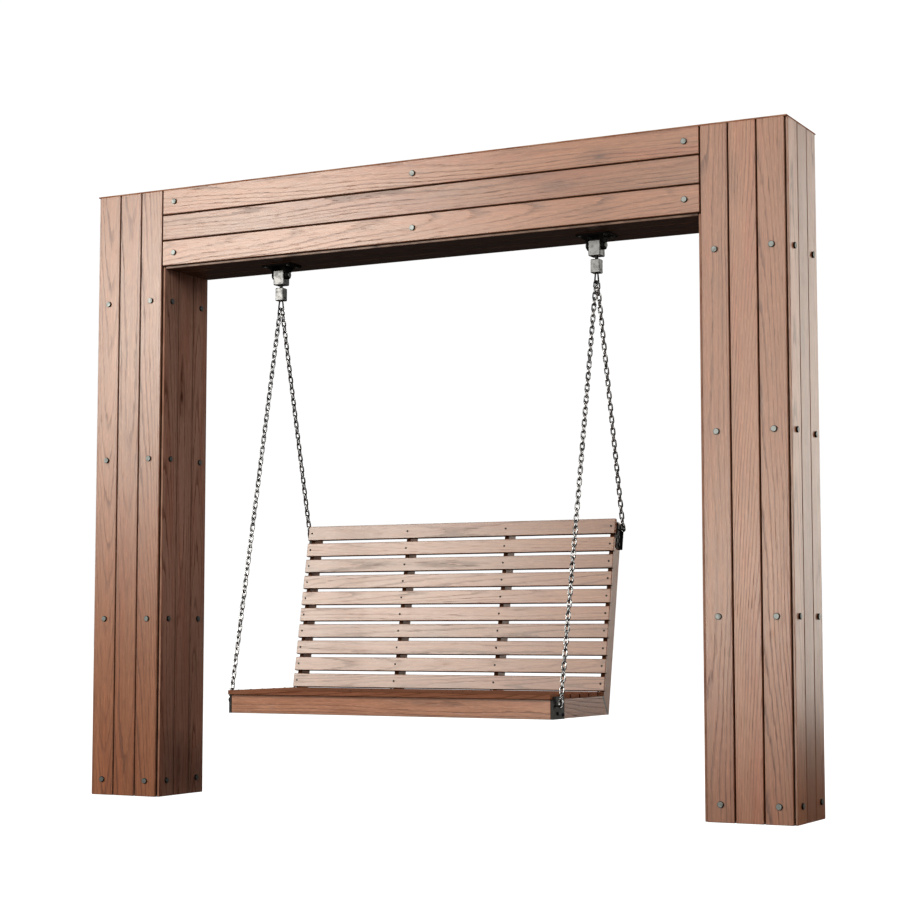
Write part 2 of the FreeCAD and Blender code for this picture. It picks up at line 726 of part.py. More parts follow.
# Chains: links laid end to end from the bar of the hanger ring to the bar of the eye
for side, sign in (("left", -1), ("right", 1)):
    for end, eye, ring_y in (("front", front_eye, -chain_spread), ("rear", rear_eye, chain_spread)):
        start = Vector(sign * hanger_offset, ring_y, ring_bar_z)
        run = Vector(sign * hanger_offset, *eye) - start
        along = Vector(run).normalize()
        tilt = math.atan2(abs(run.y), -run.z)
        bars = (wire_radius, eye_radius)
        reaches = [(bar + wire_radius) / math.cos(tilt) - wire_radius + seat_gap for bar in bars]
        length = run.Length + sum(reaches)
        count = 2 * round((length / link_pitch - 1) / 2) + 1
        pitch = (length - link_gap) / count
        inner_length = pitch + link_gap
        template = link(inner_length, link_inner_width)
        first = start + along * (inner_length / 2 - reaches[0])
        widths = (right, along.cross(right))
        centres = [first + along * (i * pitch) for i in range(count)]
        links = [placed_link(template, centre, along, widths[i % 2]) for i, centre in enumerate(centres)]
        export(f"{side}_{end}_chain", links)
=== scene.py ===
import bpy
import math
from mathutils import Matrix, Vector


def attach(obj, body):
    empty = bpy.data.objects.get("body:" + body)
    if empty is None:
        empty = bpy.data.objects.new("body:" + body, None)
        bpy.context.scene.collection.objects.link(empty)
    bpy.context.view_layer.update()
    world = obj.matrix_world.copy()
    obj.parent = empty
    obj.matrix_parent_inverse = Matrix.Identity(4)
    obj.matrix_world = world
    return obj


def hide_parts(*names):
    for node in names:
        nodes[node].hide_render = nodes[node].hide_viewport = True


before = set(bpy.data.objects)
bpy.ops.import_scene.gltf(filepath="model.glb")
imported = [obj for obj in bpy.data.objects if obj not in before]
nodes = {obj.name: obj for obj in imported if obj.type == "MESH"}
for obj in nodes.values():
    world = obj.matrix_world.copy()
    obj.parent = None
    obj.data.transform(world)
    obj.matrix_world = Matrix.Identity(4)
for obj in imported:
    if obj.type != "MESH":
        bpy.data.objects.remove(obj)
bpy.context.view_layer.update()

# Post cladding
# Oiled reddish oak boards, planed and eased at the edges, standing upright in threes on every side of
# both posts. The front and back boards stand proud of the side boards, with an open shadow gap between.
# The boards that face each other across the bench are matt, and their paler, greyer copy of the board colour
# is a painted sheen.


def shade(tree, kind, sockets=(), **settings):
    """A shader node whose sockets take plain values or other nodes' outputs."""
    made = tree.nodes.new(kind)
    for name, value in settings.items():
        setattr(made, name, value)
    pairs = sockets.items() if isinstance(sockets, dict) else enumerate(sockets)
    for key, value in pairs:
        if isinstance(value, bpy.types.NodeSocket):
            tree.links.new(value, made.inputs[key])
        elif value is not None:
            made.inputs[key].default_value = value
    return made


def maths(tree, operation, *values):
    return shade(tree, "ShaderNodeMath", values, operation=operation).outputs[0]


def smooth(tree, value, low, high, start=0.0, end=1.0):
    made = shade(tree, "ShaderNodeMapRange", interpolation_type="SMOOTHSTEP")
    tree.links.new(value, made.inputs["Value"])
    for name, number in zip(("From Min", "From Max", "To Min", "To Max"), (low, high, start, end)):
        made.inputs[name].default_value = number
    return made.outputs["Result"]


def tint(tree, blend, amount, first, second):
    made = shade(tree, "ShaderNodeMix", data_type="RGBA", blend_type=blend)
    for key, value in ((0, amount), (6, first), (7, second)):
        if isinstance(value, bpy.types.NodeSocket):
            tree.links.new(value, made.inputs[key])
        else:
            made.inputs[key].default_value = value
    return made.outputs[2]


def effect(name, inputs, outputs):
    """An empty shader node group with named sockets, and its two end nodes."""
    tree = bpy.data.node_groups.new(name, "ShaderNodeTree")
    for label, kind in inputs:
        tree.interface.new_socket(label, in_out="INPUT", socket_type=kind)
    for label, kind in outputs:
        tree.interface.new_socket(label, in_out="OUTPUT", socket_type=kind)
    return tree, tree.nodes.new("NodeGroupInput"), tree.nodes.new("NodeGroupOutput")


# Place is in metres from the middle of a board: X across it, Y through it and Z along the grain. Each
# board is sawn from its own part of a log that tapers, so the growth rings come out as long arches.
oak, oak_in, oak_out = effect(
    "sawn oak",
    [
        ("Place", "NodeSocketVector"),
        ("Board", "NodeSocketFloat"),
        ("Lines", "NodeSocketFloat"),
        ("Pale", "NodeSocketColor"),
        ("Deep", "NodeSocketColor"),
    ],
    [("Color", "NodeSocketColor"), ("Roughness", "NodeSocketFloat"), ("Height", "NodeSocketFloat")],
)
place = shade(oak, "ShaderNodeSeparateXYZ", [oak_in.outputs["Place"]])
across, through, along = place.outputs
metres_between_boards = 3.7
shifted = maths(oak, "MULTIPLY_ADD", oak_in.outputs["Board"], metres_between_boards, along)


def board_chances(salt):
    """Three numbers from 0 to 1 that are the same all over one board."""
    seed = maths(oak, "ADD", oak_in.outputs["Board"], salt)
    drawn = shade(oak, "ShaderNodeTexWhiteNoise", {"W": seed}, noise_dimensions="1D")
    return shade(oak, "ShaderNodeSeparateXYZ", [drawn.outputs["Color"]]).outputs


def oak_noise(x_scale, y_scale, z_scale, detail, roughness=0.55):
    """Noise stretched by its own scale along each of the board's directions, new on every board."""
    pairs = ((across, x_scale), (through, y_scale), (shifted, z_scale))
    scaled = shade(oak, "ShaderNodeCombineXYZ", [maths(oak, "MULTIPLY", v, s) for v, s in pairs])
    sockets = {"Vector": scaled.outputs[0], "Scale": 1.0, "Detail": detail, "Roughness": roughness}
    return shade(oak, "ShaderNodeTexNoise", sockets).outputs[0]


heart_across, heart_depth, log_taper = board_chances(0.17)
board_tone, board_red, ring_shift = board_chances(7.31)
wander = oak_noise(5.0, 5.0, 1.1, 2.0)
drift = oak_noise(2.0, 2.0, 0.8, 2.0)
ring_x = maths(oak, "ADD", across, maths(oak, "MULTIPLY_ADD", heart_across, 0.15, -0.075))
ring_x = maths(oak, "ADD", ring_x, maths(oak, "MULTIPLY_ADD", wander, 0.05, -0.025))
ring_y = maths(oak, "ADD", through, maths(oak, "MULTIPLY_ADD", heart_depth, 0.08, 0.02))
ring_y = maths(oak, "ADD", ring_y, maths(oak, "MULTIPLY_ADD", drift, 0.04, -0.02))
ring_place = shade(oak, "ShaderNodeCombineXYZ", [ring_x, ring_y, 0.0])
ring_radius = shade(oak, "ShaderNodeVectorMath", [ring_place.outputs[0]], operation="LENGTH").outputs["Value"]
slant = maths(oak, "MULTIPLY", maths(oak, "MULTIPLY_ADD", log_taper, 0.11, -0.055), along)
ring_radius = maths(oak, "ADD", ring_radius, slant)
ragged = oak_noise(120.0, 120.0, 16.0, 3.0)
rings_per_metre = 112.0
raggedness = 0.55
ring_noise = maths(oak, "MULTIPLY", ragged, raggedness)
ring_phase = maths(oak, "MULTIPLY_ADD", ring_radius, rings_per_metre, ring_noise)
ring_phase = maths(oak, "FRACT", maths(oak, "ADD", ring_phase, maths(oak, "MULTIPLY", ring_shift, 9.0)))
ring_line = maths(oak, "MULTIPLY", smooth(oak, ring_phase, 0.0, 0.08), smooth(oak, ring_phase, 0.40, 0.10))
ring_strength = smooth(oak, oak_noise(12.0, 12.0, 0.9, 2.0), 0.34, 0.66, 0.25, 1.0)
ring_line = maths(oak, "MULTIPLY", ring_line, ring_strength)
streak = smooth(oak, oak_noise(120.0, 120.0, 3.0, 2.0), 0.28, 0.74)
cloud = smooth(oak, oak_noise(22.0, 22.0, 3.6, 3.0), 0.25, 0.75)
fibre = oak_noise(190.0, 190.0, 9.0, 3.0, 0.65)
fleck = smooth(oak, oak_noise(330.0, 330.0, 36.0, 2.0), 0.50, 0.70)
pore = smooth(oak, oak_noise(270.0, 270.0, 15.0, 1.0), 0.60, 0.70)
pore = maths(oak, "MULTIPLY", pore, maths(oak, "MULTIPLY_ADD", ring_line, 0.7, 0.3))

knot_pairs = ((across, 6.0), (through, 0.8), (shifted, 2.0))
knot_place = shade(oak, "ShaderNodeCombineXYZ", [maths(oak, "MULTIPLY", v, s) for v, s in knot_pairs])
knot_cell = shade(oak, "ShaderNodeTexVoronoi", {"Vector": knot_place.outputs[0], "Scale": 1.0})
knot_pick = shade(oak, "ShaderNodeSeparateXYZ", [knot_cell.outputs["Color"]])
knot_chance = 0.22
knot_there = maths(oak, "GREATER_THAN", knot_pick.outputs[0], 1.0 - knot_chance)
knot = maths(oak, "MULTIPLY", smooth(oak, knot_cell.outputs["Distance"], 0.075, 0.015), knot_there)
knot_halo = maths(oak, "MULTIPLY", smooth(oak, knot_cell.outputs["Distance"], 0.26, 0.05), knot_there)

tone = maths(oak, "MULTIPLY_ADD", streak, 0.16, 0.13)
tone = maths(oak, "MULTIPLY_ADD", cloud, 0.12, tone)
tone = maths(oak, "MULTIPLY_ADD", fibre, 0.60, tone)
tone = maths(oak, "MULTIPLY_ADD", fleck, 0.22, tone)
tone = maths(oak, "SUBTRACT", tone, maths(oak, "MULTIPLY", ring_line, oak_in.outputs["Lines"]))
tone = maths(oak, "MULTIPLY_ADD", knot_halo, -0.30, tone)
tone = maths(oak, "ADD", tone, maths(oak, "MULTIPLY_ADD", board_tone, 0.34, -0.24))
colour = tint(oak, "MIX", tone, oak_in.outputs["Deep"], oak_in.outputs["Pale"])
flush = smooth(oak, oak_noise(16.0, 16.0, 1.6, 3.0), 0.44, 0.68)
flush = maths(oak, "MULTIPLY", flush, maths(oak, "MULTIPLY_ADD", board_red, 0.5, 0.25))
colour = tint(oak, "MULTIPLY", flush, colour, (0.98, 0.78, 0.70, 1.0))
colour = tint(oak, "MULTIPLY", maths(oak, "MULTIPLY", pore, 0.62), colour, (0.34, 0.24, 0.20, 1.0))
colour = tint(oak, "MULTIPLY", maths(oak, "MULTIPLY", knot, 0.88), colour, (0.22, 0.14, 0.11, 1.0))
oak.links.new(colour, oak_out.inputs["Color"])
gloss = maths(oak, "MULTIPLY_ADD", ring_line, 0.05, maths(oak, "MULTIPLY_ADD", fibre, 0.12, 0.26))
oak.links.new(maths(oak, "MULTIPLY_ADD", pore, 0.10, gloss), oak_out.inputs["Roughness"])
grain_height = maths(oak, "MULTIPLY_ADD", fibre, 0.55, maths(oak, "MULTIPLY", ring_line, -0.45))
oak.links.new(maths(oak, "MULTIPLY_ADD", pore, -0.7, grain_height), oak_out.inputs["Height"])

# Eased edges are paler, partly wear and partly painted highlight, and a band just behind them is darker. Edge
# is the distance to the board's edge.
edge_wear_and_highlight, edge_wear_and_highlight_in, edge_wear_and_highlight_out = effect(
    "edge wear and painted highlight",
    [("Place", "NodeSocketVector"), ("Edge", "NodeSocketFloat"), ("Color", "NodeSocketColor")],
    [("Color", "NodeSocketColor")],
)
patch_place = {"Vector": edge_wear_and_highlight_in.outputs["Place"], "Scale": 14.0, "Detail": 4.0}
patch = shade(edge_wear_and_highlight, "ShaderNodeTexNoise", patch_place)
patchy = smooth(edge_wear_and_highlight, patch.outputs[0], 0.30, 0.66)
worn_and_highlit = maths(edge_wear_and_highlight, "MULTIPLY", smooth(edge_wear_and_highlight, edge_wear_and_highlight_in.outputs["Edge"], 0.0050, 0.0015), patchy)
darker_near_edge = maths(edge_wear_and_highlight, "MULTIPLY", smooth(edge_wear_and_highlight, edge_wear_and_highlight_in.outputs["Edge"], 0.015, 0.005), 0.25)
edge_toned = tint(edge_wear_and_highlight, "MULTIPLY", darker_near_edge, edge_wear_and_highlight_in.outputs["Color"], (0.45, 0.33, 0.27, 1.0))
edge_toned = tint(edge_wear_and_highlight, "MIX", maths(edge_wear_and_highlight, "MULTIPLY", worn_and_highlit, 0.55), edge_toned, (0.58, 0.36, 0.26, 1.0))
edge_wear_and_highlight.links.new(edge_toned, edge_wear_and_highlight_out.inputs["Color"])


def oak_boards(
    name,
    order,
    start,
    pitch,
    middle,
    first,
    pale,
    deep,
    turn=0.0,
    painted_foot_shade=False,
    oiled=True,
    sheen=0.78,
    relief=0.45,
    lines=0.55,
    painted_gap_shade=None,
    mitre=None,
):
    """Oiled oak for a row of boards: order names the axes across, through and along them, start is
    where the first one's share of the row begins, and middle is the middle of their thickness. Painted
    gap shade gives how far from that start the painted shade in a gap stays full, and where it fades
    out, and mitre a point (y, z) on a dark glue line with the direction (y, z) square to it."""
    material = bpy.data.materials.new(name)
    material.use_nodes = True
    tree = material.node_tree
    surface = tree.nodes["Principled BSDF"]
    spot = shade(tree, "ShaderNodeTexCoord").outputs["Object"]
    if turn:
        lean_back = {"Vector": spot, "Rotation": (math.radians(turn), 0.0, 0.0)}
        spot = shade(tree, "ShaderNodeMapping", lean_back).outputs[0]
    parts = shade(tree, "ShaderNodeSeparateXYZ", [spot])
    axes = [parts.outputs["XYZ".index(letter)] for letter in order]
    count = maths(tree, "DIVIDE", maths(tree, "SUBTRACT", axes[0], start), pitch)
    number = maths(tree, "ADD", maths(tree, "FLOOR", count), first)
    inside = maths(tree, "MULTIPLY", maths(tree, "FRACT", count), pitch)
    edge = maths(tree, "MINIMUM", inside, maths(tree, "SUBTRACT", pitch, inside))
    off_centre = maths(tree, "SUBTRACT", inside, pitch / 2)
    from_middle = [off_centre, maths(tree, "SUBTRACT", axes[1], middle), axes[2]]
    grain = shade(tree, "ShaderNodeGroup", node_tree=oak)
    tree.links.new(shade(tree, "ShaderNodeCombineXYZ", from_middle).outputs[0], grain.inputs["Place"])
    tree.links.new(number, grain.inputs["Board"])
    grain.inputs["Lines"].default_value = lines
    grain.inputs["Pale"].default_value = pale
    grain.inputs["Deep"].default_value = deep
    wear_and_highlight = shade(tree, "ShaderNodeGroup", node_tree=edge_wear_and_highlight)
    for label, value in (("Place", spot), ("Edge", edge), ("Color", grain.outputs["Color"])):
        tree.links.new(value, wear_and_highlight.inputs[label])
    finished = wear_and_highlight.outputs["Color"]
    # Painted shade: the boards grow darker towards the foot.
    if painted_foot_shade:
        rise = shade(tree, "ShaderNodeTexNoise", {"Vector": spot, "Scale": 5.0, "Detail": 3.0}).outputs[0]
        height = maths(tree, "MULTIPLY_ADD", rise, -0.5, parts.outputs[2])
        finished = tint(tree, "MULTIPLY", smooth(tree, height, 0.7, -0.35), finished, (0.86, 0.80, 0.77, 1.0))
    # Painted shade: the part of each board's share nearest its start is darkened and loses its sheen.
    if painted_gap_shade:
        painted_shade_mask = smooth(tree, inside, painted_gap_shade[1], painted_gap_shade[0])
        finished = tint(tree, "MULTIPLY", painted_shade_mask, finished, (0.16, 0.12, 0.10, 1.0))
        sheen_outside_painted_shade = maths(tree, "MULTIPLY_ADD", painted_shade_mask, -sheen, sheen)
        tree.links.new(sheen_outside_painted_shade, surface.inputs["Specular IOR Level"])
    if mitre:
        y, z, square_y, square_z = mitre
        off_y = maths(tree, "MULTIPLY", maths(tree, "SUBTRACT", parts.outputs[1], y), square_y)
        off_z = maths(tree, "MULTIPLY", maths(tree, "SUBTRACT", parts.outputs[2], z), square_z)
        off_line = maths(tree, "ABSOLUTE", maths(tree, "ADD", off_y, off_z))
        glue = smooth(tree, off_line, 0.014, 0.008)
        finished = tint(tree, "MULTIPLY", glue, finished, (0.08, 0.06, 0.05, 1.0))
    tree.links.new(finished, surface.inputs["Base Color"])
    if oiled:
        tree.links.new(grain.outputs["Roughness"], surface.inputs["Roughness"])
        surface.inputs["Specular IOR Level"].default_value = sheen
    else:
        surface.inputs["Roughness"].default_value = 0.92
        surface.inputs["Specular IOR Level"].default_value = 0.1
    raised = {"Strength": relief, "Distance": 0.0007, "Height": grain.outputs["Height"]}
    tree.links.new(shade(tree, "ShaderNodeBump", raised).outputs[0], surface.inputs["Normal"])
    return material


def dress(node, material):
    """The CAD node keeps its shape and takes this material."""
    held = nodes[node].data.materials
    held.clear()
    held.append(material)


board_pale = (0.500, 0.204, 0.099, 1.0)
board_deep = (0.180, 0.062, 0.026, 1.0)
# Paler, greyer copy of the board colour for the inner boards: painted sheen.
inner_painted_sheen_pale = (0.535, 0.300, 0.232, 1.0)
inner_painted_sheen_deep = (0.197, 0.096, 0.067, 1.0)
wide_pitch = 0.103
narrow_pitch = 0.101
narrow_start = -0.1515
half_gap = 0.003
face_middle = 0.155
inner_middle = 1.1335
outer_middle = 1.4515
for side, left_edge, first in (("left", -1.444, 10), ("right", 1.141, 50)):
    outward = math.copysign(1.0, left_edge)
    for face, middle, number in (("front", -face_middle, first), ("back", face_middle, first + 10)):
        name = f"{side} {face} boards"
        start = left_edge - half_gap
        wood = oak_boards(name, "XYZ", start, wide_pitch, middle, number, board_pale, board_deep, painted_foot_shade=True)
        dress(f"{side}_post_{face}_boards", wood)
    for face, middle, number, pale, deep, sheen in (
        ("inner", inner_middle, first + 20, inner_painted_sheen_pale, inner_painted_sheen_deep, 0.0),
        ("outer", outer_middle, first + 30, board_pale, board_deep, 0.78),
    ):
        name = f"{side} {face} boards"
        middle *= outward
        wood = oak_boards(
            name, "YXZ", narrow_start, narrow_pitch, middle, number, pale, deep, painted_foot_shade=True, sheen=sheen
        )
        dress(f"{side}_post_{face}_boards", wood)

# Beam cladding
# The same oak boards laid along the beam, front and back, with the soffit boards under it and a thin
# cap board that covers the tops of the posts and beam and sheds the rain.
beam_start = 2.089
for face, middle, number in (("front", -face_middle, 90), ("back", face_middle, 95)):
    name = f"beam {face} boards"
    wood = oak_boards(name, "ZYX", beam_start, wide_pitch, middle, number, board_pale, board_deep)
    dress(f"beam_{face}_boards", wood)
# The soffit boards are coloured far darker than the other boards: painted shade under the beam.
soffit_painted_shade_pale = (0.115, 0.050, 0.029, 1.0)
soffit_painted_shade_deep = (0.042, 0.016, 0.009, 1.0)
soffit_middle = 2.0845
soffit = oak_boards(
    "soffit", "YZX", narrow_start, narrow_pitch, soffit_middle, 100, soffit_painted_shade_pale, soffit_painted_shade_deep, sheen=0.22
)
dress("beam_soffit_boards", soffit)
cap_width = 0.321
cap_middle = 2.3975
cap = oak_boards(
    "cap board", "YZX", -cap_width / 2, cap_width, cap_middle, 105, board_pale, board_deep, sheen=0.0
)
dress("top_cap", cap)

# Post and beam core
# Softwood studs, joists and bridging blocks with plywood ribs and liners, all behind the cladding and
# coloured near black, painted shade, so that the gaps between the boards read as dark lines.
core_painted_shade_pale = (0.050, 0.023, 0.014, 1.0)
core_painted_shade_deep = (0.020, 0.009, 0.006, 1.0)
for node, name, order, start, pitch, middle, number in (
    ("post_studs", "studs", "XYZ", -2.0, 0.2, 0.0, 110),
    ("post_liners", "plywood liners", "XYZ", -2.0, 0.5, 0.0, 120),
    ("beam_joists", "joists", "ZYX", 2.0, 0.5, 0.12, 130),
    ("post_ribs", "plywood ribs", "XZY", -2.0, 0.5, 1.3, 140),
    ("hanger_bridges", "bridging blocks", "XZY", -2.0, 0.5, 2.15, 150),
):
    dress(node, oak_boards(name, order, start, pitch, middle, number, core_painted_shade_pale, core_painted_shade_deep, oiled=False))

# Steel in general use: fingerprints, fine scratches along the work, and specks of dirt.
scuffed, scuffed_in, scuffed_out = effect(
    "scuffed steel",
    [
        ("Place", "NodeSocketVector"),
        ("Clean", "NodeSocketColor"),
        ("Dull", "NodeSocketColor"),
        ("Polish", "NodeSocketFloat"),
    ],
    [("Color", "NodeSocketColor"), ("Roughness", "NodeSocketFloat"), ("Height", "NodeSocketFloat")],
)
steel_place = scuffed_in.outputs["Place"]
smudge = shade(scuffed, "ShaderNodeTexNoise", {"Vector": steel_place, "Scale": 60.0, "Detail": 4.0})
combed = shade(scuffed, "ShaderNodeMapping", {"Vector": steel_place, "Scale": (900.0, 900.0, 60.0)})
scratch = shade(scuffed, "ShaderNodeTexNoise", {"Vector": combed.outputs[0], "Scale": 1.0, "Detail": 2.0})
speck = shade(scuffed, "ShaderNodeTexVoronoi", {"Vector": steel_place, "Scale": 420.0})
specks = smooth(scuffed, speck.outputs["Distance"], 0.22, 0.08)
dulled = smooth(scuffed, smudge.outputs[0], 0.42, 0.72)
steel = tint(scuffed, "MIX", dulled, scuffed_in.outputs["Clean"], scuffed_in.outputs["Dull"])
steel = tint(scuffed, "MULTIPLY", maths(scuffed, "MULTIPLY", specks, 0.35), steel, (0.35, 0.32, 0.30, 1.0))
scuffed.links.new(steel, scuffed_out.inputs["Color"])
rough = maths(scuffed, "MULTIPLY_ADD", dulled, 0.14, scuffed_in.outputs["Polish"])
rough = maths(scuffed, "MULTIPLY_ADD", scratch.outputs[0], 0.10, rough)
scuffed.links.new(rough, scuffed_out.inputs["Roughness"])
scuffed.links.new(scratch.outputs[0], scuffed_out.inputs["Height"])


def steel_finish(name, clean, dull, polish, metallic=1.0, bump_strength=0.12):
    """A metal finish with its own clean and dull colours and polish."""
    material = bpy.data.materials.new(name)
    material.use_nodes = True
    tree = material.node_tree
    surface = tree.nodes["Principled BSDF"]
    surface.inputs["Metallic"].default_value = metallic
    spot = shade(tree, "ShaderNodeTexCoord").outputs["Object"]
    worn_steel = shade(tree, "ShaderNodeGroup", node_tree=scuffed)
    tree.links.new(spot, worn_steel.inputs["Place"])
    for label, value in (("Clean", clean), ("Dull", dull), ("Polish", polish)):
        worn_steel.inputs[label].default_value = value
    tree.links.new(worn_steel.outputs["Color"], surface.inputs["Base Color"])
    tree.links.new(worn_steel.outputs["Roughness"], surface.inputs["Roughness"])
    combing = {"Strength": bump_strength, "Distance": 0.0002, "Height": worn_steel.outputs["Height"]}
    tree.links.new(shade(tree, "ShaderNodeBump", combing).outputs[0], surface.inputs["Normal"])
    return material


galvanised = steel_finish("galvanised plate", (0.46, 0.48, 0.49, 1.0), (0.34, 0.36, 0.37, 1.0), 0.45)
dress("post_base_plates", galvanised)

# Cladding bolts
# Flat stainless heads with eased rims on plain shanks, driven through the outer boards into the studs
# Each head's rim is painted dark, painted shade that gives each head a dark outline.
bolt_steel = steel_finish("dull stainless", (0.178, 0.190, 0.186, 1.0), (0.140, 0.150, 0.147, 1.0), 0.36)
head_steel = bolt_steel.copy()
head_steel.name = "dull stainless with painted rim shade"
head_tree = head_steel.node_tree
head_surface = head_tree.nodes["Principled BSDF"]
board_face = 0.1594
rim_painted_shade = (0.10, 0.09, 0.08, 1.0)
head_spot = shade(head_tree, "ShaderNodeTexCoord").outputs
head_place = shade(head_tree, "ShaderNodeSeparateXYZ", [head_spot["Object"]])
head_normal = shade(head_tree, "ShaderNodeSeparateXYZ", [head_spot["Normal"]])
on_front = maths(head_tree, "GREATER_THAN", maths(head_tree, "ABSOLUTE", head_place.outputs[1]), board_face)
on_side = maths(head_tree, "SUBTRACT", 1.0, on_front)
flat_x = maths(head_tree, "MULTIPLY", maths(head_tree, "ABSOLUTE", head_normal.outputs[0]), on_side)
flat_y = maths(head_tree, "MULTIPLY", maths(head_tree, "ABSOLUTE", head_normal.outputs[1]), on_front)
# Painted shade: faces that turn away from the head's flat top are darkened.
rim_shade_mask = smooth(head_tree, maths(head_tree, "ADD", flat_x, flat_y), 0.97, 0.60)
head_colour = head_surface.inputs["Base Color"].links[0].from_socket
outlined = tint(head_tree, "MULTIPLY", rim_shade_mask, head_colour, rim_painted_shade)
head_tree.links.new(outlined, head_surface.inputs["Base Color"])
dress("cladding_bolts", head_steel)
dress("hanger_screws", bolt_steel)
dress("pivot_pins", bolt_steel)

# Hangers
# Each bracket is a plate with two ears welded under it, in blackened steel. A bright machined bearing
# block rocks on a pin between the ears, and a swivel below it carries the clevis that holds the ring.
black_steel = steel_finish(
    "blackened steel", (0.012, 0.012, 0.013, 1.0), (0.026, 0.025, 0.025, 1.0), 0.40, metallic=0.5
)
bright_steel = steel_finish(
    "bright machined steel", (0.140, 0.141, 0.143, 1.0), (0.118, 0.119, 0.121, 1.0), 0.32
)
bronze = steel_finish("bearing bronze", (0.24, 0.15, 0.06, 1.0), (0.14, 0.09, 0.035, 1.0), 0.34)
chain_steel = steel_finish("chain steel", (0.42, 0.427, 0.44, 1.0), (0.030, 0.031, 0.033, 1.0), 0.11)
scaled_steel = steel_finish(
    "mill scale", (0.006, 0.006, 0.006, 1.0), (0.010, 0.010, 0.010, 1.0), 0.62, metallic=0.8
)
dress("hanger_brackets", scaled_steel)
for side in ("left", "right"):
    dress(f"{side}_bearing_block", bright_steel)
    dress(f"{side}_clevis_block", bright_steel)
    dress(f"{side}_swivel_shaft", black_steel)
    dress(f"{side}_clevis_pin", black_steel)
    dress(f"{side}_pivot_bush", bronze)
    dress(f"{side}_hanger_ring", black_steel)


def mark(piece, kind, test):
    """Select, in edit mode, only the vertices, edges or faces whose place or normal passes a test."""
    bpy.ops.object.mode_set(mode="EDIT")
    bpy.ops.mesh.select_mode(type=kind)
    bpy.ops.mesh.select_all(action="DESELECT")
    bpy.ops.object.mode_set(mode="OBJECT")
    mesh = piece.data
    parts = {"VERT": mesh.vertices, "EDGE": mesh.edges, "FACE": mesh.polygons}[kind]
    for part in parts:
        if kind == "EDGE":
            part.select = test(*[mesh.vertices[i].co for i in part.vertices])
        elif kind == "FACE":
            part.select = test(part.center, part.normal)
        else:
            part.select = test(part.co)
    bpy.ops.object.mode_set(mode="EDIT")


def finish_shape(piece, angle=35.0):
    """Leave edit mode with the faces pointing outwards and the round ones shaded smooth."""
    bpy.ops.object.mode_set(mode="EDIT")
    bpy.ops.mesh.select_all(action="SELECT")
    bpy.ops.mesh.normals_make_consistent(inside=False)
    bpy.ops.object.mode_set(mode="OBJECT")
    bpy.ops.object.shade_smooth_by_angle(angle=math.radians(angle))


def set_out(pattern, name, places):
    """Copies of a pattern piece set out by these matrices and joined as one piece; the pattern goes."""
    copies = []
    for matrix in places:
        copy = pattern.copy()
        copy.data = pattern.data.copy()
        copy.data.transform(matrix)
        bpy.context.collection.objects.link(copy)
        copies.append(copy)
    bpy.data.objects.remove(pattern)
    bpy.ops.object.select_all(action="DESELECT")
    for copy in copies:
        copy.select_set(True)
    bpy.context.view_layer.objects.active = copies[0]
    bpy.ops.object.join()
    piece = bpy.context.object
    piece.name = name
    return piece


def facing(seat, outward, across):
    """A matrix that stands a piece's +Z along outward and its +X along across, on a seat."""
    z = Vector(outward).normalized()
    x = Vector(across).normalized()
    turned = Matrix((x, z.cross(x), z)).transposed()
    return Matrix.Translation(seat) @ turned.to_4x4()


# Hanger welds
# A rippled bead of weld runs along the outside of each ear where it meets the bracket's plate.
hanger_x = 0.677
ear_face = 0.0345
plate_under = 2.072
bead_radius = 0.0042
bead_length = 0.072
ripples = 28
ripple = bead_length / ripples
bead_tip = 0.0345
sunk = 0.0002
bpy.ops.object.select_all(action="DESELECT")
bpy.ops.mesh.primitive_cylinder_add(
    vertices=10, radius=bead_radius, depth=bead_length, end_fill_type="TRIFAN"
)
bead = bpy.context.object
mark(bead, "EDGE", lambda a, b: abs(a.z - b.z) > bead_length / 2)
bpy.ops.mesh.subdivide(number_cuts=ripples - 1)
mark(bead, "VERT", lambda p: abs(p.z) < bead_tip and round((p.z + bead_length / 2) / ripple) % 2 == 0)
bpy.ops.transform.resize(value=(0.84, 0.84, 1.0), center_override=(0.0, 0.0, 0.0))
mark(bead, "VERT", lambda p: abs(p.z) > bead_tip)
bpy.ops.transform.resize(value=(0.45, 0.45, 1.0), center_override=(0.0, 0.0, 0.0))
finish_shape(bead, 60.0)
seats = [
    (sign * hanger_x + end * (ear_face + sunk), 0.0, plate_under - sunk)
    for sign in (-1, 1)
    for end in (-1, 1)
]
welds = set_out(bead, "hanger_welds", [facing(seat, (0, 1, 0), (1, 0, 0)) for seat in seats])
welds.data.materials.append(scaled_steel)
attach(welds, "frame")

